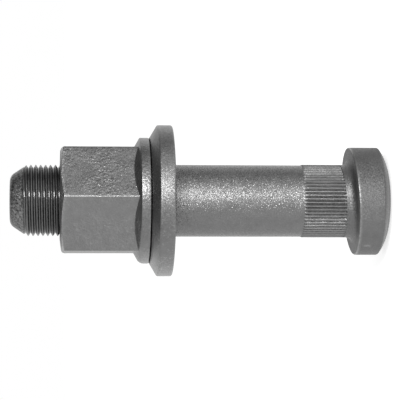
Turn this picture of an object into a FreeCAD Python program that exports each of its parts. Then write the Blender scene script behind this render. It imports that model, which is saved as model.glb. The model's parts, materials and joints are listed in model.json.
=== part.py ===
"""Truck wheel stud with its flat-seat wheel nut and the captive washer that swivels on the nut.

The stud stands on its head: Z is the stud's axis, Z = 0 is the flat end of the head, and the
threaded end points up. The nut is drawn run on to the thread, with the tip standing out of it.
All sizes are in millimetres.
"""
import FreeCAD, Part
import math
import os

# Stud: forged head, serrated press-fit band, plain shank, thread and chamfered point
stud_length = 116.5
nominal_diameter = 22.0
thread_allowance = 0.1
shank_oversize = 0.1
thread_below_nut = 0.8
thread_relief_width = 1.4
thread_relief_depth = 0.5
head_diameter = 33.4
head_thickness = 11.0
head_edge_bevel_height = 2.95
head_edge_bevel_width = 4.2
head_end_radius = 14.0
head_rim_radius = 0.6
head_seat_edge_radius = 0.5
neck_fillet_radius = 2.3
serration_count = 62
serration_length = 13.0
serration_rise = 0.2
serration_depth = 0.4
serration_crest_width = 0.48
serration_lead_in = 0.6
point_length = 4.2
point_step = 0.7
point_taper_width = 2.8
point_edge_radius = 2.9

# Nut: hexagon, round collar with a sloping top, and a spigot whose end is rolled out under the washer
nut_height = 27.75
across_flats = 31.75
hexagon_corner_radius = 0.6
hexagon_end_chamfer_angle = 22.0
hexagon_corner_bearing = -85.9
tip_standout = 15.0
thread_clearance = 0.05
nut_mouth_depth = 1.2
nut_mouth_widening = 1.0
collar_overhang = 3.55
collar_rim_height = 2.4
collar_slope_angle = 29.0
collar_edge_radius = 0.35
collar_relief_height = 0.4
collar_relief_width = 1.9
spigot_wall = 2.6
lip_overhang = 1.2
lip_thickness = 1.3
lip_edge_radius = 0.4
lip_play = 0.3

# Captive washer: bevelled ring with a recess that hides the rolled lip
washer_overhang = 3.9
washer_thickness = 6.9
washer_bevel_height = 2.3
washer_rim_edge_radius = 0.7
washer_clamp_edge_radius = 0.6
washer_recess_depth = 2.9
washer_bore_clearance = 0.3
washer_recess_clearance = 0.7

# Nut and washer stack down from the stud's tip
nut_top = stud_length - tip_standout
collar_seat = nut_top - nut_height
washer_face = collar_seat - washer_thickness
washer_recess_roof = washer_face + washer_recess_depth
lip_top = washer_recess_roof - lip_play
spigot_end = lip_top - lip_thickness

# Radii that pass through one another grow outwards from the thread
shank_radius = nominal_diameter / 2 + shank_oversize
thread_radius = (nominal_diameter - thread_allowance) / 2
nut_bore_radius = thread_radius + thread_clearance
spigot_radius = nut_bore_radius + spigot_wall
lip_radius = spigot_radius + lip_overhang
washer_bore_radius = spigot_radius + washer_bore_clearance
washer_recess_radius = lip_radius + washer_recess_clearance
collar_radius = across_flats / 2 + collar_overhang
washer_radius = collar_radius + washer_overhang

# The neck's fillet leaves a flat ring under the head to seat on the hub
head_radius = head_diameter / 2
crest_radius = shank_radius + serration_rise
seat_ring_width = head_radius - head_seat_edge_radius - crest_radius
largest_fillet_share = 0.7
neck_radius = min(neck_fillet_radius, largest_fillet_share * seat_ring_width)
serration_start = head_thickness + neck_radius
serration_end = serration_start + serration_length
thread_start = spigot_end - thread_below_nut


def on_profile(radius, height):
    """A point of a turned profile, drawn in the XZ plane."""
    return FreeCAD.Vector(radius, 0, height)


def rounded_outline(corners):
    """A closed wire through (point, radius) corners, where a radius above 0 rounds the corner."""
    same_point = 1e-6
    edges = []
    ends = []
    count = len(corners)
    for index, (corner, radius) in enumerate(corners):
        to_last = (corners[index - 1][0] - corner).normalize()
        to_next = (corners[(index + 1) % count][0] - corner).normalize()
        if radius <= 0:
            ends.append((corner, corner))
            continue
        half_angle = to_last.getAngle(to_next) / 2
        bisector = (to_last + to_next).normalize()
        centre = corner + bisector * (radius / math.sin(half_angle))
        setback = radius / math.tan(half_angle)
        begin = corner + to_last * setback
        finish = corner + to_next * setback
        edges.append(Part.Arc(begin, centre - bisector * radius, finish).toShape())
        ends.append((begin, finish))
    for index in range(count):
        begin = ends[index][1]
        finish = ends[(index + 1) % count][0]
        if not begin.isEqual(finish, same_point):
            edges.append(Part.LineSegment(begin, finish).toShape())
    return Part.Wire(Part.__sortEdges__(edges))


def turned(corners):
    """A solid of revolution about Z from (radius, height) corners, or (radius, height, rounding) ones."""
    outline = [(on_profile(c[0], c[1]), c[2] if len(c) > 2 else 0) for c in corners]
    face = Part.Face(rounded_outline(outline))
    return face.revolve(FreeCAD.Vector(0, 0, 0), FreeCAD.Vector(0, 0, 1), 360)


def at_angle(radius, angle, height):
    """A point at a polar angle in radians."""
    return FreeCAD.Vector(radius * math.cos(angle), radius * math.sin(angle), height)


def head_and_neck():
    """The round head, bevelled at its end, and the filleted neck up to the serrations."""
    return turned([
        (0, 0),
        (head_radius - head_edge_bevel_width, 0, head_end_radius),
        (head_radius, head_edge_bevel_height, head_rim_radius),
        (head_radius, head_thickness, head_seat_edge_radius),
        (crest_radius, head_thickness, neck_radius),
        (crest_radius, serration_start),
        (0, serration_start),
    ])


def serrated_band():
    """The press-fit band: straight serrations with narrow crests, led in by a chamfer at the shank end."""
    root_radius = crest_radius - serration_depth
    pitch_angle = 2 * math.pi / serration_count
    half_crest = serration_crest_width / crest_radius / 2
    lead_in_reach = serration_lead_in * (1 + serration_depth / serration_rise)
    edges = []
    for tooth in range(serration_count):
        middle = tooth * pitch_angle
        begin = at_angle(crest_radius, middle - half_crest, serration_start)
        top = at_angle(crest_radius, middle, serration_start)
        finish = at_angle(crest_radius, middle + half_crest, serration_start)
        root = at_angle(root_radius, middle + pitch_angle / 2, serration_start)
        following = at_angle(crest_radius, middle + pitch_angle - half_crest, serration_start)
        edges.append(Part.Arc(begin, top, finish).toShape())
        edges.append(Part.LineSegment(finish, root).toShape())
        edges.append(Part.LineSegment(root, following).toShape())
    section = Part.Face(Part.Wire(edges))
    band = section.extrude(FreeCAD.Vector(0, 0, serration_length))
    lead_in = turned([
        (0, serration_start),
        (crest_radius + serration_depth, serration_start),
        (crest_radius + serration_depth, serration_end - lead_in_reach),
        (shank_radius, serration_end),
        (0, serration_end),
    ])
    return band.common(lead_in)


def shank_and_thread():
    """The plain shank, a sloping relief, the thread's cylinder at its crests, and the bare point."""
    relief_end = thread_start + thread_relief_width
    relief_middle = (thread_start + relief_end) / 2
    point_start = stud_length - point_length
    point_root_radius = thread_radius - point_step
    point_end_radius = point_root_radius - point_taper_width
    return turned([
        (0, serration_end),
        (shank_radius, serration_end),
        (shank_radius, thread_start),
        (shank_radius - thread_relief_depth, relief_middle),
        (thread_radius, relief_end),
        (thread_radius, point_start),
        (point_root_radius, point_start),
        (point_end_radius, stud_length, point_edge_radius),
        (0, stud_length),
    ])


def stud():
    """One forging, from the head to the point."""
    whole = head_and_neck().fuse([serrated_band(), shank_and_thread()])
    return whole.removeSplitter()


def hexagon():
    """The hexagon with rounded corners, chamfered at its outer end."""
    corner_radius = across_flats / math.sqrt(3)
    hexagon_start = collar_seat + collar_relief_height
    corners = []
    for side in range(6):
        bearing = math.radians(hexagon_corner_bearing + 60 * side)
        corners.append((at_angle(corner_radius, bearing, hexagon_start), hexagon_corner_radius))
    section = Part.Face(rounded_outline(corners))
    prism = section.extrude(FreeCAD.Vector(0, 0, nut_top - hexagon_start))
    flat_radius = across_flats / 2
    drop = (corner_radius - flat_radius) * math.tan(math.radians(hexagon_end_chamfer_angle))
    end_cone = turned([
        (0, hexagon_start),
        (corner_radius, hexagon_start),
        (corner_radius, nut_top - drop),
        (flat_radius, nut_top),
        (0, nut_top),
    ])
    return prism.common(end_cone)


def collar_and_spigot():
    """The collar under the hexagon, the spigot through the washer and its rolled-out lip."""
    slope_width = collar_radius - nut_bore_radius
    slope_rise = slope_width * math.tan(math.radians(collar_slope_angle))
    rim_bottom = collar_seat + collar_relief_height
    rim_top = rim_bottom + collar_rim_height
    return turned([
        (0, spigot_end),
        (lip_radius, spigot_end, lip_edge_radius),
        (lip_radius, lip_top, lip_edge_radius),
        (spigot_radius, lip_top),
        (spigot_radius, collar_seat),
        (collar_radius - collar_relief_width, collar_seat),
        (collar_radius, rim_bottom, collar_edge_radius),
        (collar_radius, rim_top, collar_edge_radius),
        (nut_bore_radius, rim_top + slope_rise),
        (0, rim_top + slope_rise),
    ])


def threaded_bore():
    """The bore through the nut, widened at both mouths."""
    mouth_radius = nut_bore_radius + nut_mouth_widening
    return turned([
        (0, spigot_end),
        (mouth_radius, spigot_end),
        (nut_bore_radius, spigot_end + nut_mouth_depth),
        (nut_bore_radius, nut_top - nut_mouth_depth),
        (mouth_radius, nut_top),
        (0, nut_top),
    ])


def wheel_nut():
    """Hexagon, collar and spigot in one piece, with the bore through them."""
    whole = hexagon().fuse(collar_and_spigot()).removeSplitter()
    return whole.cut(threaded_bore())


def captive_washer():
    """The bevelled ring between collar and wheel, recessed below for the nut's lip."""
    rim_top = collar_seat - washer_bevel_height
    return turned([
        (washer_bore_radius, collar_seat),
        (washer_bore_radius, washer_recess_roof),
        (washer_recess_radius, washer_recess_roof),
        (washer_recess_radius, washer_face),
        (washer_radius, washer_face, washer_clamp_edge_radius),
        (washer_radius, rim_top, washer_rim_edge_radius),
        (collar_radius, collar_seat),
    ])


os.makedirs("parts", exist_ok=True)
pieces = {
    "wheel_stud": stud(),
    "wheel_nut": wheel_nut(),
    "captive_washer": captive_washer(),
}
for name, shape in pieces.items():
    shape.exportStep("parts/" + name + ".step")
    print(name, "solids", len(shape.Solids), "valid", shape.isValid(), "volume", round(shape.Volume, 1))
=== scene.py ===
# %% [markdown]
# # A truck wheel stud, its nut and its captive washer
#
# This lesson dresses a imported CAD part. The part is a forged steel stud that is pressed into a wheel hub,
# with a hexagon nut run on to its thread and a loose bevelled washer held under the nut's collar.
# The CAD solids give the true sizes. Here each piece gets the surface that the solids leave out: a real
# helical thread, serrations that the forge left uneven, a head that came out of the die a little askew,
# softened edges, and a dull grey blasted finish. Blender works in metres, in the same frame as the CAD:
# Z runs up the stud from its head to its tip. Sizes below are in millimetres until a mesh is made.

# %% Load the fixed frame
import json
import math
import bmesh
import bpy
from mathutils import Matrix, Vector, noise


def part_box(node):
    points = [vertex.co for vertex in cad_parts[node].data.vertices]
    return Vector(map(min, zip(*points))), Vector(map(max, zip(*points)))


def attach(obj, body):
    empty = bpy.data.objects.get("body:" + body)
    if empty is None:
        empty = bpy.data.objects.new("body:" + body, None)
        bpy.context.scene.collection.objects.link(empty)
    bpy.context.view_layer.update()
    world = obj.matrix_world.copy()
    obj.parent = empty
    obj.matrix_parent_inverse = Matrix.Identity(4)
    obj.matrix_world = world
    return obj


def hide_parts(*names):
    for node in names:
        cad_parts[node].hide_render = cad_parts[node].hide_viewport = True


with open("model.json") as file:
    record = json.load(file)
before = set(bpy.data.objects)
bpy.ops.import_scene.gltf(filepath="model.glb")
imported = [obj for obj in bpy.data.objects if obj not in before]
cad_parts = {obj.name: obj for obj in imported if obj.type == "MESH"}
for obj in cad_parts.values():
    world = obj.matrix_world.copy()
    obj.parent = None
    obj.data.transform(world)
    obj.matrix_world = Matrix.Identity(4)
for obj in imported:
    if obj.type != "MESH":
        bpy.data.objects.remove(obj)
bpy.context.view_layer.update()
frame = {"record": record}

MM = 0.001

# %% [markdown]
# ## The sizes
#
# A visual model that drifts away from its CAD part is worth little, so the main sizes are read from the
# frame: each node's box gives its ends and its largest radius, and the record's mounts give the neck,
# the shank and the seat. If the CAD part is resized, this script follows.

# %% Read the main sizes from the frame
mounts = {mount["name"]: mount for mount in frame["record"]["mounts"]}


def box_mm(node):
    """A node's lowest and highest corners in millimetres."""
    low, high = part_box(node)
    return Vector(low) / MM, Vector(high) / MM


_, stud_high = box_mm("wheel_stud")
nut_low, nut_high = box_mm("wheel_nut")
washer_low, washer_high = box_mm("captive_washer")
STUD_LENGTH = stud_high.z
HEAD_RADIUS = stud_high.x
NUT_TOP = nut_high.z
SPIGOT_END = nut_low.z
COLLAR_RADIUS = nut_high.x
COLLAR_SEAT = washer_high.z
WASHER_FACE = washer_low.z
WASHER_RADIUS = washer_high.x
HEAD_SEAT = mounts["head_seat"]["pos_m"][2] / MM
NECK_RADIUS = mounts["serrated_neck"]["dims"]["r_mm"]
SHANK_RADIUS = mounts["plain_shank"]["dims"]["r_mm"]
SHANK_LENGTH = mounts["plain_shank"]["dims"]["length_mm"]
print("stud", round(STUD_LENGTH, 2), "nut top", round(NUT_TOP, 2), "washer face", round(WASHER_FACE, 2))

# %% [markdown]
# ## The camera
#
# The photograph shows the stud lying across the picture. The part stands on its head, so the camera is
# rolled a quarter turn: the picture's left is up, and its top is +X. How much each round edge bulges in
# the picture gives the lens. Near the tip the edges are almost straight lines and near the head they are
# clear ellipses, so the eye is only a little above the middle and about half a metre away.

# %% Place the camera
EYE_DISTANCE = 557 * MM
EYE_ELEVATION = math.radians(4.72)
EYE_ROLL = math.radians(0.15)
AIM_HEIGHT = 57.98 * MM
SIDE_OFFSET = 0.26 * MM
FOCAL_IN_PICTURE_WIDTHS = 4.5
SENSOR_WIDTH = 36.0

backward = Vector((0, -math.cos(EYE_ELEVATION), math.sin(EYE_ELEVATION)))
picture_up = Matrix.Rotation(EYE_ROLL, 3, backward) @ Vector((1, 0, 0))
picture_right = picture_up.cross(backward)
eye = Vector((SIDE_OFFSET, 0, AIM_HEIGHT)) + backward * EYE_DISTANCE

camera_data = bpy.data.cameras.new("photo_camera")
camera_data.sensor_width = SENSOR_WIDTH
camera_data.lens = SENSOR_WIDTH * FOCAL_IN_PICTURE_WIDTHS
camera = bpy.data.objects.new("photo_camera", camera_data)
turn = Matrix((picture_right, picture_up, backward)).transposed()
camera.matrix_world = Matrix.Translation(eye) @ turn.to_4x4()
bpy.context.scene.collection.objects.link(camera)
bpy.context.scene.camera = camera
print("camera at", [round(c, 4) for c in eye])

# %% [markdown]
# ## Two helpers for turned pieces
#
# All three pieces are turned or forged round one axis. A screw or spin modifier would make plain rings,
# but the hexagon, the serrations and the thread each change the radius with the angle. So a piece is made
# as columns: one list of points for each bearing round the axis, each list with the same number of points.
# Neighbouring columns are knitted with quads, and points that fall together are merged afterwards.
# The first helper turns a few corners into such a list, and rounds a corner with a true arc.

# %% Round the corners of a profile
ARC_STEPS = 6


def arc_at(before, corner, after, radius):
    """Points of the arc that rounds a corner between its two straight sides."""
    back = (before - corner).normalized()
    ahead = (after - corner).normalized()
    half = back.angle(ahead) / 2
    bisector = (back + ahead).normalized()
    centre = corner + bisector * (radius / math.sin(half))
    first = corner + back * (radius / math.tan(half)) - centre
    last = corner + ahead * (radius / math.tan(half)) - centre
    sweep = first.angle_signed(last)
    points = []
    for step in range(ARC_STEPS + 1):
        angle = -sweep * step / ARC_STEPS
        points.append(centre + Matrix.Rotation(angle, 2) @ first)
    return points


def profile(corners):
    """(radius, height) points from corners (radius, height, rounding, steps along the run that follows)."""
    spots = [Vector(c[:2]) for c in corners]
    runs = []
    for index, corner in enumerate(corners):
        rounding = corner[2] if len(corner) > 2 else 0
        if rounding > 0:
            runs.append(arc_at(spots[index - 1], spots[index], spots[index + 1], rounding))
        else:
            runs.append([spots[index]])
    points = []
    for index, run in enumerate(runs):
        points.extend(run)
        steps = corners[index][3] if len(corners[index]) > 3 else 1
        if index + 1 < len(runs):
            start = run[-1]
            finish = runs[index + 1][0]
            points.extend(start.lerp(finish, step / steps) for step in range(1, steps))
    return points


# %% [markdown]
# The second helper knits the columns. A thread climbs one pitch in each turn, so at the seam, where the
# last column meets the first, its rows join rows that are one pitch higher: `climb` says how many rows.
# Another writes a number on every point of a finished piece, in one of three layers for the materials.
# The first layer is 0 on clean grey steel. Above 0 it darkens the colour, with a dark film and with painted
# shade; below 0, down to -1, it lightens it, on edges rubbed bright and with painted highlights and painted
# reflections. `polish` is 0 on matt blasted steel and 1 where rolling dies burnished it.
# `grain` says how strongly the blasting shows: 1 is full, and 0 is smooth.

# %% Knit columns of points into a closed skin
MERGE_DISTANCE = 0.002 * MM
SHARP_ANGLE = math.radians(35)


def around(bearing, point):
    """A (radius, height) pair in millimetres, swung to a bearing, in metres."""
    return Vector((point[0] * math.cos(bearing), point[0] * math.sin(bearing), point[1])) * MM


def knit(skin, columns, climb=0):
    """Add the columns' points to a mesh and join each column to the next one with quads."""
    grid = [[skin.verts.new(point) for point in column] for column in columns]
    for index, column in enumerate(grid):
        following = grid[(index + 1) % len(grid)]
        shift = climb if index + 1 == len(grid) else 0
        for row in range(len(column) - 1 - shift):
            skin.faces.new((column[row], following[row + shift], following[row + shift + 1], column[row + 1]))


def finish_skin(skin, name):
    """Merge, orient and smooth a knitted skin, and put it in the scene as an object."""
    bmesh.ops.remove_doubles(skin, verts=skin.verts, dist=MERGE_DISTANCE)
    bmesh.ops.dissolve_degenerate(skin, edges=skin.edges, dist=MERGE_DISTANCE)
    bmesh.ops.recalc_face_normals(skin, faces=skin.faces)
    open_edges = sum(1 for edge in skin.edges if not edge.is_manifold)
    mesh = bpy.data.meshes.new(name)
    skin.to_mesh(mesh)
    skin.free()
    mesh.shade_smooth()
    mesh.set_sharp_from_angle(angle=SHARP_ANGLE)
    piece = bpy.data.objects.new(name, mesh)
    bpy.context.scene.collection.objects.link(piece)
    triangles = sum(len(polygon.vertices) - 2 for polygon in mesh.polygons)
    print(name, "triangles", triangles, "open edges", open_edges)
    return piece


# %% [markdown]
# Paint is soft-edged, so two more helpers make smooth steps: one between two values, and one round a
# middle value. The third marks the -X side, where a painted reflection lightens the collar and the washer.

# %% Paint a layer of numbers on a piece
def paint(piece, layer_name, value_at):
    """Store value_at(radius, height, bearing) on each point of a piece."""
    layer = piece.data.attributes.new(layer_name, "FLOAT", "POINT")
    for vertex, value in zip(piece.data.vertices, layer.data):
        x, y, z = vertex.co / MM
        value.value = value_at(math.hypot(x, y), z, math.atan2(y, x))
    print(piece.name, "painted with", layer_name)


def ramp(value, low, high):
    """0 below `low`, 1 above `high`, and a smooth step between them."""
    share = min(1, max(0, (value - low) / (high - low)))
    return share * share * (3 - 2 * share)


def near(value, middle, reach):
    """1 at `middle`, falling smoothly to 0 at `reach` from it."""
    return 1 - ramp(abs(value - middle), 0, reach)


def on_lower_side(bearing):
    """1 on the -X side, where a painted reflection lightens the rim, falling to 0 away from it."""
    return ramp(-math.cos(bearing), 0.6, 1.0)


# %% [markdown]
# ## The thread
#
# The thread is right-handed, 22 mm across and 1.5 mm in pitch. A texture could fake it, but the outline
# shows the crests, so it is real geometry. Each column carries the same few profile points per turn,
# lifted by its share of the pitch, so the crests run along mesh edges and stay clean. The flanks stand at
# 60 degrees to each other, which traps light and makes a thread look dark, and rolling leaves the roots
# round, so each root shows one bright glint. The nut uses the same points, a hair wider, and so it meshes
# with the stud wherever it is screwed to.

# %% Describe one turn of the thread
PITCH = 1.5
THREAD_DIAMETER = 22.0
THREAD_ALLOWANCE = 0.1
CREST_RADIUS = (THREAD_DIAMETER - THREAD_ALLOWANCE) / 2
CREST_HEIGHT_AT_X = 0.60
CREST = ((-0.08, 0.05), (0.0, 0.0), (0.08, 0.05))
ROOT = ((0.38, 0.78), (0.44, 0.86), (0.50, 0.88), (0.56, 0.86), (0.62, 0.78))
THREAD_TURN = CREST + ROOT


def thread_rows(bearing, low, high):
    """(height, depth below the crest) pairs up one column, from below `low` to above `high`."""
    first_turn = math.floor((low - CREST_HEIGHT_AT_X) / PITCH) - 1
    last_turn = math.ceil((high - CREST_HEIGHT_AT_X) / PITCH) + 1
    rows = []
    for number in range(first_turn, last_turn + 1):
        for share, depth in THREAD_TURN:
            height = CREST_HEIGHT_AT_X + PITCH * (number + share + bearing / (2 * math.pi))
            rows.append((height, depth))
    return rows


# %% [markdown]
# ## The stud
#
# The stud is one forging. Its columns follow the serrations: four columns to each tooth, two on the crest
# and two in the groove, so that every groove has straight, clean flanks. The profile starts at the middle
# of the head's end, goes out round the bevelled rim, in along the seat, up the fillet to the neck, past
# the serrations and along the shank to the small relief where the thread begins.

# %% Head, serrated neck and shank
TEETH = 62
TOOTH_COLUMNS = ((-0.12, 0), (0.12, 0), (0.46, 1), (0.54, 1))
stud_columns = []
for tooth in range(TEETH):
    for share, groove in TOOTH_COLUMNS:
        bearing = 2 * math.pi * (tooth + share - TOOTH_COLUMNS[0][0]) / TEETH
        stud_columns.append((bearing, tooth, groove))

HEAD_BEVEL_WIDTH = 4.2
HEAD_BEVEL_HEIGHT = 2.95
HEAD_END_ROUNDING = 14.0
HEAD_RIM_ROUNDING = 0.6
SEAT_EDGE_ROUNDING = 0.5
NECK_FILLET = 2.3
FILLET_MARGIN = 0.1
SERRATION_START = HEAD_SEAT + NECK_FILLET
SERRATION_LENGTH = 13.0
BAND_OVERRUN = 0.5
SERRATION_END = SERRATION_START + SERRATION_LENGTH + BAND_OVERRUN
SERRATION_DEPTH = 0.4
THREAD_START = SERRATION_START + SERRATION_LENGTH + SHANK_LENGTH
GROOVE_ENTRY = (0.5, 0.8)
GROOVE_EXIT = 0.4
PLAIN_MARGIN = 0.3
RELIEF_WIDTH = 1.4
RELIEF_DEPTH = 0.5


def lower_stud(groove):
    """From the middle of the head's end to the end of the thread's relief."""
    depth = SERRATION_DEPTH * groove
    return profile([
        (0, 0, 0, 3),
        (HEAD_RADIUS - HEAD_BEVEL_WIDTH, 0, HEAD_END_ROUNDING, 2),
        (HEAD_RADIUS, HEAD_BEVEL_HEIGHT, HEAD_RIM_ROUNDING, 14),
        (HEAD_RADIUS, HEAD_SEAT, SEAT_EDGE_ROUNDING, 3),
        (NECK_RADIUS, HEAD_SEAT, NECK_FILLET - FILLET_MARGIN, 1),
        (NECK_RADIUS, SERRATION_START + GROOVE_ENTRY[0], 0, 1),
        (NECK_RADIUS - depth, SERRATION_START + GROOVE_ENTRY[1], 0, 20),
        (NECK_RADIUS - depth, SERRATION_END - GROOVE_EXIT, 0, 1),
        (SHANK_RADIUS, SERRATION_END, 0, 1),
        (SHANK_RADIUS, SERRATION_END + PLAIN_MARGIN, 0, 12),
        (SHANK_RADIUS, THREAD_START, 0, 1),
        (SHANK_RADIUS - RELIEF_DEPTH, THREAD_START + RELIEF_WIDTH / 2, 0, 1),
        (CREST_RADIUS, THREAD_START + RELIEF_WIDTH, 0, 1),
    ])


# %% [markdown]
# A forging is never as true as its drawing. The photograph shows the head's seat about three degrees out
# of square, and serrations that are not quite even. Both are put in by moving the points of the clean
# profile: the tilt fades out above and below the seat, and seeded noise pushes each groove a hair sideways
# and each crest a hair inwards.

# %% Forging errors
SEAT_TILT = math.tan(math.radians(3.5))
TILT_RISE = (3.0, 9.5)
TILT_FALL = (SERRATION_START, SERRATION_START + 10)
GROOVE_WANDER = 0.08
CREST_SWELL = 0.06
WANDER_LENGTH = 2.6


def in_band(height):
    """1 along the serrations, 0 away from them."""
    entered = ramp(height, SERRATION_START, SERRATION_START + 1)
    left = ramp(height, SERRATION_END - GROOVE_EXIT, SERRATION_END)
    return entered * (1 - left)


def forged(bearing, tooth, point):
    """A profile point with the forge's errors, as (bearing, (radius, height))."""
    radius, height = point
    tilt = SEAT_TILT * ramp(height, *TILT_RISE) * (1 - ramp(height, *TILT_FALL))
    spot = Vector((tooth * 1.7, height / WANDER_LENGTH, 0.5))
    sideways = in_band(height) * GROOVE_WANDER * noise.noise(spot) * 2 * math.pi / TEETH
    inward = in_band(height) * CREST_SWELL * abs(noise.noise(spot * 1.9 + Vector((7, 3, 2))))
    lifted = height + tilt * radius * math.cos(bearing)
    return bearing + sideways, (radius - inward, lifted)


# %% [markdown]
# The thread grows out of the relief over one turn, as it does where the rolling dies begin. At the tip
# the cone of the point cuts it off, so the last crests grow thin and stop.

# %% Thread and point
POINT_LENGTH = 4.2
POINT_STEP = 0.7
POINT_TAPER_WIDTH = 2.8
POINT_EDGE_ROUNDING = 2.9
THREAD_SPAN = (THREAD_START + RELIEF_WIDTH, STUD_LENGTH - POINT_LENGTH)
POINT_ROOT_RADIUS = CREST_RADIUS - POINT_STEP
POINT_END_RADIUS = POINT_ROOT_RADIUS - POINT_TAPER_WIDTH
POINT_TAPER = POINT_TAPER_WIDTH / POINT_LENGTH


def stud_thread(bearing):
    """The thread's column at one bearing."""
    low, high = THREAD_SPAN
    points = []
    for height, depth in thread_rows(bearing, low, high):
        fade = min(1, max(0, (height - low) / PITCH))
        radius = min(CREST_RADIUS - depth * fade, POINT_ROOT_RADIUS + (high - height) * POINT_TAPER)
        if height <= low:
            points.append((CREST_RADIUS, low))
        elif height >= high:
            points.append((POINT_ROOT_RADIUS, high))
        else:
            points.append((radius, height))
    return points


point_profile = profile([
    (POINT_ROOT_RADIUS, THREAD_SPAN[1], 0, 14),
    (POINT_END_RADIUS, STUD_LENGTH, POINT_EDGE_ROUNDING, 24),
    (0, STUD_LENGTH),
])

stud_skin = bmesh.new()
lower_columns = []
for bearing, tooth, groove in stud_columns:
    lower_columns.append([around(*forged(bearing, tooth, point)) for point in lower_stud(groove)])
knit(stud_skin, lower_columns)
knit(stud_skin, [[around(b, p) for p in stud_thread(b)] for b, _, _ in stud_columns], climb=len(THREAD_TURN))
knit(stud_skin, [[around(b, p) for p in point_profile] for b, _, _ in stud_columns])
stud = finish_skin(stud_skin, "forged_stud")
print("turns of thread", round((THREAD_SPAN[1] - THREAD_SPAN[0]) / PITCH, 1))

# %% [markdown]
# Wear makes one stud out of all the studs there are. A painted picture would need an unwrapped mesh and
# a picture file. Here each layer is a small function of radius, height and bearing, so it follows the
# part when that is resized. First come the places: each helper is 1 on one part of the stud, and falls
# softly to 0 away from it.

# %% Places on the stud
ROOT_DEPTHS = (0.8, 0.86)


def on_point(height):
    """1 on the bare point, 0 below it."""
    return ramp(height, THREAD_SPAN[1], THREAD_SPAN[1] + 0.5)


def in_thread(height):
    """1 in the thread, 0 below it and on the point."""
    return ramp(height, THREAD_START, THREAD_START + PITCH) * (1 - on_point(height))


def on_head(height):
    """1 on the head, 0 above it."""
    return 1 - ramp(height, SERRATION_START, SERRATION_START + 1.8)


def on_fillet(radius, height):
    """1 on the fillet between the neck and the head's seat, 0 away from it."""
    return on_head(height) * (1 - ramp(radius, NECK_RADIUS + 0.2, NECK_RADIUS + 2))


def in_root(radius, height):
    """1 in the rounded bottom of the thread, 0 on its flanks."""
    return in_thread(height) * ramp(CREST_RADIUS - radius, *ROOT_DEPTHS)


def seat_edge(radius, height, bearing):
    """1 on the rounded edge of the head's seat, 0 away from it."""
    level = height - SEAT_TILT * radius * math.cos(bearing)
    return near(radius, HEAD_RADIUS, 0.5) * near(level, HEAD_SEAT - 0.2, 0.5)


def head_bevel(radius, height):
    """1 on the head's bevelled edge, 0 on its side and its flat end."""
    outer = ramp(radius, HEAD_RADIUS - HEAD_BEVEL_WIDTH, HEAD_RADIUS - HEAD_BEVEL_WIDTH / 2)
    return outer * (1 - ramp(height, HEAD_BEVEL_HEIGHT - 0.8, HEAD_BEVEL_HEIGHT))


# %% [markdown]
# The thread's flanks and the grooves are darkened as painted shade, the grooves more on the -X side, and the
# teeth between the grooves are lightened a little as a painted highlight. The roots are burnished by the
# rolling dies and the bare point is speckled. Painted shade darkens the head's upper front, its seat edge
# carries a painted highlight, its bevel a painted reflection that is strongest low at the front, and its side
# has one short scuff. A name that ends in FILM says how dark a place is, one that ends in SHINE says how
# bright it is made, and a name with PAINTED in it is painted shade or painted light.

# %% Wear, finish and painted light of the stud
FLANK_PAINTED_SHADE = 0.6
ROOT_SHINE = 0.6
GROOVE_PAINTED_SHADE = 0.25
LOWER_SIDE_GROOVE_PAINTED_SHADE = 0.3
POINT_GRAIN = 0.3
POINT_SPECKLE_FILM = 1.2
POINT_FILM = 0.1
HEAD_SHADE_BEARING = math.radians(-62)
HEAD_SHADE_REACH = math.radians(60)
HEAD_PAINTED_SHADE = 0.35
BEVEL_SHEEN_BEARING = math.radians(-145)
BEVEL_SHEEN_REACH = math.radians(50)
BEVEL_PAINTED_SHEEN = 0.4
LOWER_BEVEL_PAINTED_SHEEN = 0.6
SCUFF_BEARING = math.radians(-145)
SCUFF_REACH = 0.035
SCUFF_HEIGHT = 7.4
SCUFF_LENGTH = 1.8
SCUFF_SHINE = 1.3
SHANK_POLISH = 0.56


def stud_film_and_painted_light(radius, height, bearing):
    """Darker on the thread's flanks, in the grooves and on the head's upper front, all painted shade; lighter
    on the burnished roots and the scuff, and on the seat edge and bevel as a painted highlight and a painted
    reflection.
    """
    # painted shade: the thread's flanks are darkened
    flank = in_thread(height) * ramp(CREST_RADIUS - radius, 0.02, 0.3)
    # painted shade in the grooves, stronger on the -X side, and a painted highlight on the teeth between them
    groove = in_band(height) * (2 * ramp(NECK_RADIUS - radius, 0.05, 0.35) - 0.4)
    groove *= GROOVE_PAINTED_SHADE + LOWER_SIDE_GROOVE_PAINTED_SHADE * ramp(-math.cos(bearing), 0.3, 0.7)
    # painted shade on the head's upper front, which dims the lamp's highlight there
    head_shade_area = on_head(height) - on_fillet(radius, height)
    head_shade = head_shade_area * near(bearing, HEAD_SHADE_BEARING, HEAD_SHADE_REACH)
    side = ramp(radius, HEAD_RADIUS - 1, HEAD_RADIUS)
    scuff = side * near(bearing, SCUFF_BEARING, SCUFF_REACH) * near(height, SCUFF_HEIGHT, SCUFF_LENGTH)
    # a painted reflection lightens the head's bevel all round, and most at its lower front
    lower_bevel_sheen = LOWER_BEVEL_PAINTED_SHEEN * near(bearing, BEVEL_SHEEN_BEARING, BEVEL_SHEEN_REACH)
    boost = head_bevel(radius, height) * (BEVEL_PAINTED_SHEEN + lower_bevel_sheen)
    cell = Vector((radius * math.cos(bearing), radius * math.sin(bearing), height)) / POINT_GRAIN
    speckle = on_point(height) * (POINT_SPECKLE_FILM * noise.cell(cell) + POINT_FILM)
    dark = FLANK_PAINTED_SHADE * flank - ROOT_SHINE * in_root(radius, height) + speckle + groove + HEAD_PAINTED_SHADE * head_shade
    # the seat's rounded edge is lightened as a painted highlight
    return dark - max(seat_edge(radius, height, bearing), SCUFF_SHINE * scuff, boost)


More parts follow.
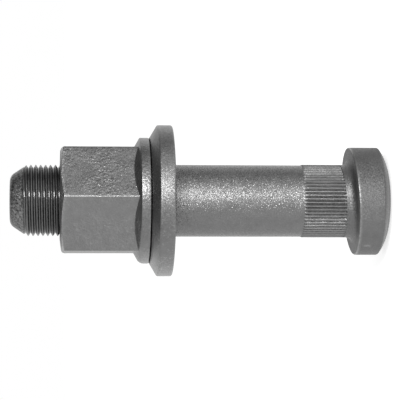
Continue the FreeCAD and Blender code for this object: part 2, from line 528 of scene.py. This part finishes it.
def stud_polish(radius, height, bearing):
    """Burnished in the thread's roots, smooth on the shank and duller at both ends."""
    dull = max(0.5 * on_head(height), 0.15 * on_point(height), 0.2 * in_band(height))
    dull -= 0.22 * on_fillet(radius, height)
    boost = 0.4 * in_root(radius, height) + 0.55 * seat_edge(radius, height, bearing)
    return SHANK_POLISH - dull + boost + 0.3 * head_bevel(radius, height)


def stud_grain(radius, height, bearing):
    """Full on shank, head and point, and less in the thread, in the grooves and on the seat's edge."""
    smooth = max(0.5 * in_thread(height), in_root(radius, height), 0.6 * in_band(height))
    return 1 - max(smooth, 0.9 * seat_edge(radius, height, bearing))


paint(stud, "soot", stud_film_and_painted_light)
paint(stud, "polish", stud_polish)
paint(stud, "grain", stud_grain)

# %% [markdown]
# ## The nut
#
# The nut is a hexagon that grows into a round collar, with a spigot below that carries the washer.
# Cutting a prism with cones would leave long thin faces along the curved lines where they meet. Here
# each column finds its own meeting heights from the hexagon's radius at that bearing, so the scalloped
# chamfer and the lens-shaped foot of each flat come out as smooth lines of the mesh. On one side the die
# didn't fill the collar's upper edge, so it is much rounder there, and the nut's end is slightly domed and
# a little out of square.

# %% Hexagon and collar
ACROSS_FLATS = 31.75
FLAT_RADIUS = ACROSS_FLATS / 2
CORNER_ROUNDING = 0.6
CORNER_BEARING = math.radians(-85.9)
CORNER_COLUMNS = (0.0, 0.5, 0.94)
FLAT_COLUMNS = 16
COLLAR_RELIEF_HEIGHT = 0.28
COLLAR_RELIEF_WIDTH = 1.9
COLLAR_RIM_HEIGHT = 3.1
COLLAR_RIM_TOP = COLLAR_SEAT + COLLAR_RIM_HEIGHT
COLLAR_SLOPE = math.tan(math.radians(29))
COLLAR_EDGE_ROUNDING = 0.35
UNDERFILL_BEARING = math.radians(180)
UNDERFILL_ROUNDING = 1.9
FOOT_ROUNDING = 0.45
END_CHAMFER = math.tan(math.radians(17.5))
END_DROP = 0.25
END_LEVEL = NUT_TOP - END_DROP
END_DOME = 0.25
END_TILT = math.tan(math.radians(0.6))
END_INSET = 0.65
END_RADIUS = FLAT_RADIUS - END_INSET
SHOULDER_ROUNDING = 0.3
END_EDGE_ROUNDING = 0.15
BORE_RADIUS = CREST_RADIUS + 0.05
MOUTH_WIDENING = 1.0
MOUTH_RADIUS = BORE_RADIUS + MOUTH_WIDENING
SPIGOT_WALL = 2.6
SPIGOT_RADIUS = BORE_RADIUS + SPIGOT_WALL
LIP_OVERHANG = 1.2
LIP_RADIUS = SPIGOT_RADIUS + LIP_OVERHANG
LIP_THICKNESS = 1.3
LIP_TOP = SPIGOT_END + LIP_THICKNESS
LIP_ROUNDING = 0.4


def hexagon_radius(from_corner):
    """Distance from the axis to the hexagon at an angle from its nearest corner, in radians."""
    flat = FLAT_RADIUS / math.cos(math.pi / 6 - abs(from_corner))
    hub = (FLAT_RADIUS - CORNER_ROUNDING) / math.cos(math.pi / 6)
    across = hub * math.sin(abs(from_corner))
    if across > CORNER_ROUNDING:
        return flat
    rounded = hub * math.cos(from_corner) + math.sqrt(CORNER_ROUNDING ** 2 - across ** 2)
    return min(flat, rounded)


half_sector = [math.radians(a) for a in CORNER_COLUMNS]
flat_start = half_sector[-1]
flat_step = (math.pi / 6 - flat_start) / (FLAT_COLUMNS / 2)
half_sector += [flat_start + flat_step * (n + 1) for n in range(FLAT_COLUMNS // 2)]
sector = half_sector + [math.pi / 3 - a for a in reversed(half_sector[1:-1])]
nut_columns = []
for side in range(6):
    for angle in sector:
        bearing = (CORNER_BEARING + side * math.pi / 3 + angle) % (2 * math.pi)
        nut_columns.append((bearing, min(angle, math.pi / 3 - angle)))
nut_columns.sort()


def nut_outside(bearing, from_corner):
    """From the lower mouth of the bore, out over lip, collar and hexagon, to the upper mouth."""
    reach = hexagon_radius(from_corner)
    foot = COLLAR_RIM_TOP + (COLLAR_RADIUS - reach) * COLLAR_SLOPE
    rim_level = END_LEVEL - END_DOME + END_TILT * END_RADIUS * math.cos(bearing)
    shoulder = rim_level - (reach - END_RADIUS) * END_CHAMFER
    underfill = ramp(math.cos(bearing - UNDERFILL_BEARING), 0.3, 0.95)
    return profile([
        (MOUTH_RADIUS, SPIGOT_END, 0, 1),
        (LIP_RADIUS, SPIGOT_END, LIP_ROUNDING, 1),
        (LIP_RADIUS, LIP_TOP, LIP_ROUNDING, 1),
        (SPIGOT_RADIUS, LIP_TOP, 0, 1),
        (SPIGOT_RADIUS, COLLAR_SEAT, 0, 1),
        (COLLAR_RADIUS - COLLAR_RELIEF_WIDTH, COLLAR_SEAT, 0, 2),
        (COLLAR_RADIUS, COLLAR_SEAT + COLLAR_RELIEF_HEIGHT, COLLAR_EDGE_ROUNDING, 3),
        (COLLAR_RADIUS, COLLAR_RIM_TOP, COLLAR_EDGE_ROUNDING + UNDERFILL_ROUNDING * underfill, 2),
        (reach, foot, FOOT_ROUNDING, 28),
        (reach, shoulder, SHOULDER_ROUNDING, 2),
        (END_RADIUS, rim_level, END_EDGE_ROUNDING, 2),
        (MOUTH_RADIUS, END_LEVEL),
    ])


# %% [markdown]
# The bore has the same turn as the stud's thread, a hair wider, and widens at both mouths. The spigot is
# left plain inside, so that the nut's thread stays clear of the place where the stud's thread runs out.

# %% Threaded bore
NUT_THREAD_GAP = 0.1
NUT_THREAD_DEPTH = 0.75
MOUTH_DEPTH = 1.2
MOUTH_TAPER = MOUTH_WIDENING / MOUTH_DEPTH
PLAIN_BORE = 3.7


def nut_thread(bearing):
    """The bore's column at one bearing, from the lower mouth to the upper one."""
    points = []
    for height, depth in thread_rows(bearing, SPIGOT_END, END_LEVEL):
        to_mouth = min(height - SPIGOT_END, END_LEVEL - height)
        cut = min(1, max(0, (height - SPIGOT_END - PLAIN_BORE) / PITCH))
        radius = CREST_RADIUS - min(depth, NUT_THREAD_DEPTH) * cut + NUT_THREAD_GAP
        radius = max(radius, MOUTH_RADIUS - to_mouth * MOUTH_TAPER)
        height = min(max(height, SPIGOT_END), END_LEVEL)
        points.append((radius if to_mouth > 0 else MOUTH_RADIUS, height))
    return points


nut_skin = bmesh.new()
knit(nut_skin, [[around(b, p) for p in nut_outside(b, from_corner)] for b, from_corner in nut_columns])
knit(nut_skin, [[around(b, p) for p in nut_thread(b)] for b, _ in nut_columns], climb=len(THREAD_TURN))
nut = finish_skin(nut_skin, "flanged_nut")

# %% [markdown]
# The nut is about as dull as the stud. Painted shade darkens its bore and the spigot under the collar, a thin
# film dulls the collar's rim and painted shade darkens its front, the edge of its end is lightened as a
# painted highlight, and the collar's rim on the -X side as a painted reflection. Its corners and the
# collar's slope are smoother than its flats. The end itself is matt.

# %% Wear, finish and painted light of the nut
FRONT_SHADE_BEARING = math.radians(-92)
FRONT_SHADE_REACH = math.radians(42)
BORE_PAINTED_SHADE = 0.8
UNDERSIDE_PAINTED_SHADE = 0.6
RIM_FILM = 0.08
FRONT_RIM_PAINTED_SHADE = 0.22
END_FILM = 0.3
END_EDGE_PAINTED_HIGHLIGHT = 0.9
COLLAR_LOWER_PAINTED_SHEEN = 0.7
NUT_POLISH = 0.5


def on_corner(bearing):
    """1 on the hexagon's rounded corners, 0 on its flats."""
    from_flat = (bearing - CORNER_BEARING + math.pi / 6) % (math.pi / 3)
    return near(from_flat, math.pi / 6, math.radians(1.4))


def on_end(radius, height):
    """1 on the nut's flat end, 0 below it."""
    return ramp(height, END_LEVEL - 1, END_LEVEL - 0.5) * (1 - ramp(radius, END_RADIUS, END_RADIUS + 0.4))


def nut_film_and_painted_light(radius, height, bearing):
    """Painted shade in the bore, under the collar and on the collar's front; a film on the collar's rim and
    the end; a painted highlight on the end's edge and a painted reflection on the collar's -X side.
    """
    # painted shade darkens the bore and the spigot under the collar
    in_bore = 1 - ramp(radius, CREST_RADIUS + 0.2, MOUTH_RADIUS)
    below = 1 - ramp(height, COLLAR_SEAT, COLLAR_SEAT + COLLAR_RELIEF_HEIGHT)
    shoulder = END_LEVEL - END_DOME - (radius - END_RADIUS) * END_CHAMFER
    # the end's edge is lightened below as a painted highlight
    end_edge = near(height, shoulder, 0.4) * ramp(radius, END_RADIUS + 0.4, END_RADIUS + 0.6)
    rim = near(radius, COLLAR_RADIUS, 0.8)
    # a film on the collar's rim, with painted shade on its front
    rim_film_and_front_shade = RIM_FILM + FRONT_RIM_PAINTED_SHADE * near(bearing, FRONT_SHADE_BEARING, FRONT_SHADE_REACH)
    tone_shift = max(BORE_PAINTED_SHADE * in_bore, UNDERSIDE_PAINTED_SHADE * below, rim_film_and_front_shade * rim, END_FILM * on_end(radius, height))
    # the collar's rim on the -X side is lightened as a painted reflection
    return tone_shift - END_EDGE_PAINTED_HIGHLIGHT * end_edge - COLLAR_LOWER_PAINTED_SHEEN * rim * on_lower_side(bearing)


def nut_polish(radius, height, bearing):
    """A little smoother on the collar's rim, a little duller on the corners, and matt on the end."""
    smooth = 0.07 * near(radius, COLLAR_RADIUS, 0.8) - 0.05 * on_corner(bearing)
    return NUT_POLISH + smooth - 0.4 * on_end(radius, height)


def nut_grain(radius, height, bearing):
    """None on the hexagon's corners and the collar's slope, and more on the flats than on the rim."""
    on_slope = near(height, COLLAR_RIM_TOP + 0.6, 0.6) * (1 - near(radius, COLLAR_RADIUS, 0.5))
    on_flats = 1 - near(radius, COLLAR_RADIUS, 1.0)
    return 0.35 + on_flats * (0.3 - 0.65 * max(on_corner(bearing), on_slope))


paint(nut, "soot", nut_film_and_painted_light)
paint(nut, "polish", nut_polish)
paint(nut, "grain", nut_grain)

# %% [markdown]
# ## The washer
#
# The washer is a plain ring with a bevelled top edge, so one closed profile is swung round the axis.
# Its edges are rounded as the press left them, and its recess hides the nut's rolled lip.

# %% Captive washer
WASHER_COLUMNS = 180
BORE_PLAY = 0.3
WASHER_BORE = SPIGOT_RADIUS + BORE_PLAY
RECESS_PLAY = 0.7
RECESS_RADIUS = LIP_RADIUS + RECESS_PLAY
LIP_PLAY = 0.3
RECESS_ROOF = LIP_TOP + LIP_PLAY
BEVEL_HEIGHT = 2.3
WASHER_RIM_TOP = COLLAR_SEAT - BEVEL_HEIGHT
CLAMP_EDGE_ROUNDING = 0.55
RIM_EDGE_ROUNDING = 0.6
TOP_EDGE_ROUNDING = 0.3
washer_profile = profile([
    (WASHER_BORE, COLLAR_SEAT, 0, 1),
    (WASHER_BORE, RECESS_ROOF, 0, 1),
    (RECESS_RADIUS, RECESS_ROOF, 0, 1),
    (RECESS_RADIUS, WASHER_FACE, 0, 2),
    (WASHER_RADIUS, WASHER_FACE, CLAMP_EDGE_ROUNDING, 5),
    (WASHER_RADIUS, WASHER_RIM_TOP, RIM_EDGE_ROUNDING, 4),
    (COLLAR_RADIUS, COLLAR_SEAT, TOP_EDGE_ROUNDING, 2),
    (WASHER_BORE, COLLAR_SEAT),
])
washer_skin = bmesh.new()
knit(washer_skin, [[around(2 * math.pi * n / WASHER_COLUMNS, p) for p in washer_profile]
                   for n in range(WASHER_COLUMNS)])
washer = finish_skin(washer_skin, "bevelled_washer")

# %% [markdown]
# The washer shows about half of the shank's grain, the rim more than the bevel. Its rim is rubbed bright
# in places, painted shade darkens the inside of the ring and its front, and a painted reflection lightens
# its -X side.

# %% Wear, finish and painted light of the washer
RING_PAINTED_SHADE = 0.7
WASHER_FRONT_PAINTED_SHADE = 0.28
RIM_EDGE_SHINE = 0.8
WASHER_LOWER_PAINTED_SHEEN = 0.8


def washer_film_and_painted_light(radius, height, bearing):
    """Painted shade inside the ring and in front, rubbed bright in patches on the rim's upper edge, and a
    painted reflection on the -X side.
    """
    # painted shade darkens the inside of the ring
    inside = 1 - ramp(radius, RECESS_RADIUS, RECESS_RADIUS + 2)
    rim_edge = near(radius, WASHER_RADIUS, 0.5) * near(height, WASHER_RIM_TOP, 0.6)
    boost = ramp(noise.noise(Vector((4 * math.cos(bearing), 4 * math.sin(bearing), 0))), -0.3, 0.4)
    # painted shade also darkens the front
    tone_shift = RING_PAINTED_SHADE * inside + WASHER_FRONT_PAINTED_SHADE * near(bearing, FRONT_SHADE_BEARING, FRONT_SHADE_REACH)
    outside = ramp(radius, COLLAR_RADIUS, COLLAR_RADIUS + 1)
    # a painted reflection lightens the -X side
    lower_side_sheen = WASHER_LOWER_PAINTED_SHEEN * outside * on_lower_side(bearing)
    return tone_shift - max(RIM_EDGE_SHINE * rim_edge * boost, lower_side_sheen)


def washer_polish(radius, height, bearing):
    """Nearly as smooth as the shank on the rim, and a little duller elsewhere."""
    return 0.45 + 0.05 * ramp(radius, WASHER_RADIUS - 1, WASHER_RADIUS)


def washer_grain(radius, height, bearing):
    """About half of the shank's, and a little more on the rim than on the bevel."""
    return 0.4 + 0.2 * ramp(radius, WASHER_RADIUS - 1, WASHER_RADIUS)


paint(washer, "soot", washer_film_and_painted_light)
paint(washer, "polish", washer_polish)
paint(washer, "grain", washer_grain)

# %% [markdown]
# ## The finish
#
# The steel is grey and dull: blasted after forging and lightly phosphated. A smooth metal with a grey
# picture on it would look painted. What the photograph shows is fine grain that sparkles only where the
# lamp's light is thrown back, and that vanishes where the metal mirrors an even white wall. Tilting the
# surface does just that. Blasting leaves small facets, so a cell texture gives each cell its own tilt;
# wider noise adds the shallow dents that tumbling leaves, and these come in patches. All of them use
# object coordinates, which need no unwrapping and have the same scale on every piece.
# The first cell holds helpers that each add a node or two to a material.


# %% Small builders for material nodes
def noise_at(material, place, size, detail):
    """A noise texture of a given feature size, and its output."""
    texture = material.node_tree.nodes.new("ShaderNodeTexNoise")
    texture.inputs["Scale"].default_value = 1 / size
    texture.inputs["Detail"].default_value = detail
    material.node_tree.links.new(place.outputs["Object"], texture.inputs["Vector"])
    return texture.outputs["Fac"]


def spread(material, value, low, high, source=(0.3, 0.7)):
    """Map a value from its source range to the range low to high."""
    node = material.node_tree.nodes.new("ShaderNodeMapRange")
    node.inputs["From Min"].default_value = source[0]
    node.inputs["From Max"].default_value = source[1]
    node.inputs["To Min"].default_value = low
    node.inputs["To Max"].default_value = high
    material.node_tree.links.new(value, node.inputs["Value"])
    return node.outputs["Result"]


def roughen(material, height, depth):
    """The normal of a bump of a given depth."""
    node = material.node_tree.nodes.new("ShaderNodeBump")
    node.inputs["Distance"].default_value = depth
    node.inputs["Strength"].default_value = 1.0
    material.node_tree.links.new(height, node.inputs["Height"])
    return node.outputs["Normal"]


def joined(material, operation, first, second):
    """The sum or product of two values."""
    node = material.node_tree.nodes.new("ShaderNodeMath")
    node.operation = operation
    material.node_tree.links.new(first, node.inputs[0])
    material.node_tree.links.new(second, node.inputs[1])
    return node.outputs["Value"]


# %% [markdown]
# Most blasted facets lean only a little, and a few lean far. The few are what still sparkles well away from
# the highlight. So each cell's random number, from -0.5 to 0.5, is multiplied by a small tilt plus a tail
# that grows with its square. The painted grain scales the result, and it is added to the bumped normal.

# %% Blasted facets
FACET_SIZE = 0.16 * MM
FACET_TILT = 0.1
FACET_TAIL = 2.4


def facets(material, place, share, normal):
    """Lean a normal another way in each small cell, by a share of the full tilt."""
    nodes = material.node_tree.nodes
    links = material.node_tree.links
    cells = nodes.new("ShaderNodeTexVoronoi")
    cells.inputs["Scale"].default_value = 1 / FACET_SIZE
    links.new(place.outputs["Object"], cells.inputs["Vector"])
    centred = nodes.new("ShaderNodeVectorMath")
    centred.operation = "SUBTRACT"
    centred.inputs[1].default_value = (0.5, 0.5, 0.5)
    links.new(cells.outputs["Color"], centred.inputs[0])
    squared = nodes.new("ShaderNodeVectorMath")
    squared.operation = "MULTIPLY"
    links.new(centred.outputs["Vector"], squared.inputs[0])
    links.new(centred.outputs["Vector"], squared.inputs[1])
    gain = nodes.new("ShaderNodeVectorMath")
    gain.operation = "MULTIPLY_ADD"
    links.new(squared.outputs["Vector"], gain.inputs[0])
    gain.inputs[1].default_value = (FACET_TAIL, FACET_TAIL, FACET_TAIL)
    gain.inputs[2].default_value = (FACET_TILT, FACET_TILT, FACET_TILT)
    lean = nodes.new("ShaderNodeVectorMath")
    lean.operation = "MULTIPLY"
    links.new(centred.outputs["Vector"], lean.inputs[0])
    links.new(gain.outputs["Vector"], lean.inputs[1])
    leaning = nodes.new("ShaderNodeVectorMath")
    leaning.operation = "SCALE"
    links.new(lean.outputs["Vector"], leaning.inputs[0])
    links.new(share, leaning.inputs["Scale"])
    tilted = nodes.new("ShaderNodeVectorMath")
    tilted.operation = "ADD"
    links.new(leaning.outputs["Vector"], tilted.inputs[0])
    links.new(normal, tilted.inputs[1])
    unit = nodes.new("ShaderNodeVectorMath")
    unit.operation = "NORMALIZE"
    links.new(tilted.outputs["Vector"], unit.inputs[0])
    return unit.outputs["Vector"]


# %% [markdown]
# The steel itself is one recipe with three amounts: how light it is, how deep its dents are, and how many
# light flecks it has. Film, rubbed edges, painted shade and painted highlights change its colour in small
# patches, and the painted polish sets its roughness. The stud, the nut and the washer differ only a little.

# %% Grey forged steel
DENT_SIZE = 0.8 * MM
PATCH_SIZE = 9.0 * MM
BLOTCH_SIZE = 0.4 * MM
FLECK_SIZE = 0.7 * MM
MOTTLE_SIZE = 2.4 * MM
MATT_ROUGHNESS = 0.6
BURNISHED_ROUGHNESS = 0.12


def forged_steel(name, shade, dent_depth, fleck_gain):
    """A dull grey steel: shade is its mean reflectance, and fleck_gain adds to it in a few small spots."""
    material = bpy.data.materials.new(name)
    material.use_nodes = True
    nodes = material.node_tree.nodes
    links = material.node_tree.links
    shader = nodes["Principled BSDF"]
    shader.inputs["Metallic"].default_value = 1.0
    place = nodes.new("ShaderNodeTexCoord")
    soot = nodes.new("ShaderNodeAttribute")
    soot.attribute_name = "soot"
    polish = nodes.new("ShaderNodeAttribute")
    polish.attribute_name = "polish"
    grain = nodes.new("ShaderNodeAttribute")
    grain.attribute_name = "grain"

    patches = spread(material, noise_at(material, place, PATCH_SIZE, 1), 0.2, 1.0, source=(0.4, 0.6))
    dented = joined(material, "MULTIPLY", noise_at(material, place, DENT_SIZE, 2), patches)
    dents = roughen(material, dented, dent_depth)
    links.new(facets(material, place, grain.outputs["Fac"], dents), shader.inputs["Normal"])

    mottle = noise_at(material, place, MOTTLE_SIZE, 4)
    grey = spread(material, mottle, shade * 0.93, shade * 1.07)
    spots = noise_at(material, place, FLECK_SIZE, 1)
    flecks = spread(material, spots, 0.0, fleck_gain, source=(0.60, 0.75))
    patchy = spread(material, noise_at(material, place, BLOTCH_SIZE, 1), 0.2, 1.8)
    # the first layer darkens the colour with film and painted shade, and lightens it with rubbed edges and
    # painted highlights and reflections
    tone_shift = joined(material, "MULTIPLY", soot.outputs["Fac"], patchy)
    film_and_light_factor = spread(material, tone_shift, 1.7, 0.3, source=(-1, 1))
    spotted = joined(material, "ADD", grey, flecks)
    links.new(joined(material, "MULTIPLY", spotted, film_and_light_factor), shader.inputs["Base Color"])
    dull = spread(material, polish.outputs["Fac"], MATT_ROUGHNESS, BURNISHED_ROUGHNESS, source=(0, 1))
    uneven = spread(material, mottle, -0.03, 0.03)
    links.new(joined(material, "ADD", dull, uneven), shader.inputs["Roughness"])
    return material


finishes = {
    "stud_steel": forged_steel("shank_grey", 0.168, 0.03 * MM, 0.02),
    "nut_steel": forged_steel("nut_grey", 0.192, 0.25 * MM, 0.02),
    "washer_steel": forged_steel("washer_grey", 0.182, 0.03 * MM, 0.08),
}
print("finishes", [finish.name for finish in finishes.values()])

# %% [markdown]
# Each piece takes its material and is tied to the body that moves it, so it rides along when the nut is
# turned. It also takes the place of the plain CAD node.

# %% Put each piece on its body
for piece, body, node, slot in (
    (stud, "stud", "wheel_stud", "stud_steel"),
    (nut, "nut", "wheel_nut", "nut_steel"),
    (washer, "washer", "captive_washer", "washer_steel"),
):
    piece.data.materials.append(finishes[slot])
    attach(piece, body)
    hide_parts(node)
    print(piece.name, "rides on", body)

# %% [markdown]
# ## The stage
#
# The picture is a studio shot on white, and dull metal shows its surroundings more than its own colour.
# So the surroundings are what has to be right. The floor and the world are white to the camera, and
# white in reflections too, except in two places: it is dark overhead, which darkens the bevels, the
# cones and the thread, and there is a grey flag beside the stud, which draws the dark band above the
# shank's highlight. One soft lamp near the camera makes that highlight.

# %% What reflections see
scene = bpy.context.scene
scene.view_settings.view_transform = "Standard"
FLAG_BEARING = math.radians(96)
FLAG_SIDE = (math.sin(FLAG_BEARING), -math.cos(FLAG_BEARING), 0)
FLAG_EDGES = (math.cos(math.radians(28)), math.cos(math.radians(6)))
FLAG_GREY = 0.05
OVERHEAD = (0.5, 0.1, 1.0)
OVERHEAD_EDGES = (0.63, 0.92)
OVERHEAD_GREY = 0.26
EVEN_LIGHT = 0.5


def shaded_towards(tree, direction, towards, edges, grey):
    """1, falling to `grey` where a direction points towards another, between two dot products."""
    facing = tree.nodes.new("ShaderNodeVectorMath")
    facing.operation = "DOT_PRODUCT"
    tree.links.new(direction, facing.inputs[0])
    facing.inputs[1].default_value = towards
    shade = tree.nodes.new("ShaderNodeMapRange")
    shade.interpolation_type = "SMOOTHSTEP"
    shade.inputs["From Min"].default_value = edges[0]
    shade.inputs["From Max"].default_value = edges[1]
    shade.inputs["To Min"].default_value = 1.0
    shade.inputs["To Max"].default_value = grey
    tree.links.new(facing.outputs["Value"], shade.inputs["Value"])
    return shade.outputs["Result"]


def by_ray(tree, camera_value, mirrored, diffuse_value):
    """One value for camera rays, a shaded one for reflected and refracted rays, and one for the rest."""
    path = tree.nodes.new("ShaderNodeLightPath")
    either = tree.nodes.new("ShaderNodeMath")
    either.operation = "MAXIMUM"
    tree.links.new(path.outputs["Is Glossy Ray"], either.inputs[0])
    tree.links.new(path.outputs["Is Transmission Ray"], either.inputs[1])
    reflected = tree.nodes.new("ShaderNodeMix")
    reflected.inputs["A"].default_value = diffuse_value
    tree.links.new(mirrored, reflected.inputs["B"])
    tree.links.new(either.outputs["Value"], reflected.inputs["Factor"])
    seen = tree.nodes.new("ShaderNodeMix")
    seen.inputs["B"].default_value = camera_value
    tree.links.new(reflected.outputs["Result"], seen.inputs["A"])
    tree.links.new(path.outputs["Is Camera Ray"], seen.inputs["Factor"])
    return seen.outputs["Result"]


# %% [markdown]
# The world is one sphere of light round the part. Camera rays see it white, which gives the picture its
# background. Mirrored rays see it dark overhead and beside the stud. All other rays see an even grey.

# %% World
world = bpy.data.worlds.new("studio")
scene.world = world
world.use_nodes = True
tree = world.node_tree
sky = tree.nodes["Background"]
sky.inputs["Color"].default_value = (1, 1, 1, 1)
look = tree.nodes.new("ShaderNodeTexCoord").outputs["Generated"]
beside = shaded_towards(tree, look, FLAG_SIDE, FLAG_EDGES, FLAG_GREY)
above = shaded_towards(tree, look, OVERHEAD, OVERHEAD_EDGES, OVERHEAD_GREY)
darker = tree.nodes.new("ShaderNodeMath")
darker.operation = "MINIMUM"
tree.links.new(beside, darker.inputs[0])
tree.links.new(above, darker.inputs[1])
tree.links.new(by_ray(tree, 1.0, darker.outputs["Value"], EVEN_LIGHT), sky.inputs["Strength"])

# %% [markdown]
# The floor is white paper under the head, so wide that its far edge is never seen. It glows, so that it is
# as white as the world to the camera, and it still keeps the part's soft shadow.

# %% Floor
FLOOR_REACH = 12.0
FLOOR_GLOW = 0.65
floor_corners = [(x * FLOOR_REACH, y * FLOOR_REACH, 0) for x, y in ((-1, -1), (1, -1), (1, 1), (-1, 1))]
floor_mesh = bpy.data.meshes.new("floor")
floor_mesh.from_pydata(floor_corners, [], [(0, 1, 2, 3)])
floor = bpy.data.objects.new("floor", floor_mesh)
scene.collection.objects.link(floor)
paper = bpy.data.materials.new("white_paper")
paper.use_nodes = True
tree = paper.node_tree
shader = tree.nodes["Principled BSDF"]
shader.inputs["Base Color"].default_value = (0.8, 0.8, 0.8, 1)
shader.inputs["Roughness"].default_value = 1.0
shader.inputs["Specular IOR Level"].default_value = 0.0
shader.inputs["Emission Color"].default_value = (1, 1, 1, 1)
from_axis = tree.nodes.new("ShaderNodeVectorMath")
from_axis.operation = "NORMALIZE"
tree.links.new(tree.nodes.new("ShaderNodeNewGeometry").outputs["Position"], from_axis.inputs[0])
beside = shaded_towards(tree, from_axis.outputs["Vector"], FLAG_SIDE, FLAG_EDGES, FLAG_GREY)
glow = tree.nodes.new("ShaderNodeMath")
glow.operation = "MULTIPLY"
glow.inputs[1].default_value = FLOOR_GLOW
tree.links.new(by_ray(tree, 1.0, beside, 0.0), glow.inputs[0])
tree.links.new(glow.outputs["Value"], shader.inputs["Emission Strength"])
floor_mesh.materials.append(paper)

# %% [markdown]
# One softbox stands beside the camera and a little above it. Its width sets how wide the highlight on the
# shank is, and its bearing sets where that lies. It is hidden from the camera.


# %% Lamp
def soft_lamp(name, bearing, elevation, distance, size, power):
    """An area lamp that looks at the middle of the stud; bearing 0 is the camera's side, 90 is +X."""
    lamp_data = bpy.data.lights.new(name, "AREA")
    lamp_data.shape = "RECTANGLE"
    lamp_data.size = size[0]
    lamp_data.size_y = size[1]
    lamp_data.energy = power
    lamp = bpy.data.objects.new(name, lamp_data)
    turn_by = math.radians(bearing)
    rise = math.radians(elevation)
    away = Vector((math.sin(turn_by) * math.cos(rise), -math.cos(turn_by) * math.cos(rise), math.sin(rise)))
    lamp.location = Vector((0, 0, AIM_HEIGHT)) + away * distance
    lamp.rotation_euler = away.to_track_quat("Z", "Y").to_euler()
    lamp.visible_camera = False
    scene.collection.objects.link(lamp)
    return lamp


key = soft_lamp("key_softbox", bearing=20.5, elevation=15, distance=0.9, size=(0.26, 0.42), power=6.8)
print("lamp at", [round(c, 3) for c in key.location])
